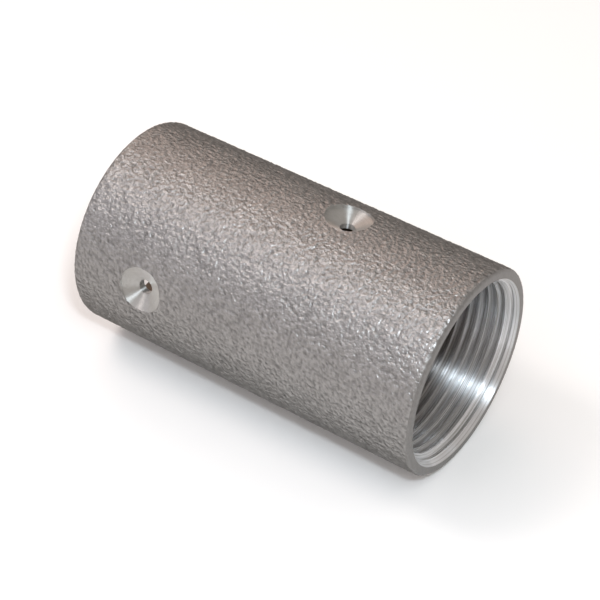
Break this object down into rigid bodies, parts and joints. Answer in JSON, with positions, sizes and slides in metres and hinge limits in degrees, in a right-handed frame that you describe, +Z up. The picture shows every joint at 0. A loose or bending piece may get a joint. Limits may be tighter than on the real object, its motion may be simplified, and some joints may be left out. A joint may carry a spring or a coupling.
{
  "type": "blast hose nozzle holder",
  "caption": "Plain cast aluminium sleeve that joins a threaded blasting nozzle to a hose: threaded mouth, loose rubber washer on an inner lip, plain hose socket with countersunk screw holes.",
  "frame": {"origin": "middle of the sleeve's length, on the axis of its bore", "axes": "+X along the bore towards the threaded mouth, +Z up with the sleeve lying on its side, +Y to complete a right-handed frame"},
  "size_m": [0.0864, 0.0474, 0.0474],
  "materials": {
    "cast_aluminium": "rough as-cast skin outside, bright machined mouth, thread, end rings and screw seats",
    "moulded_rubber": "moulded, matt black"
  },
  "bodies": {
    "holder": {"sleeve": "cast_aluminium"},
    "washer": {"nozzle_washer": "moulded_rubber"}
  },
  "joints": [
    {"name": "washer_slide", "type": "slide", "parent": "holder", "child": "washer", "axis": [1, 0, 0], "range_m": [0, 0.03]}
  ]
}
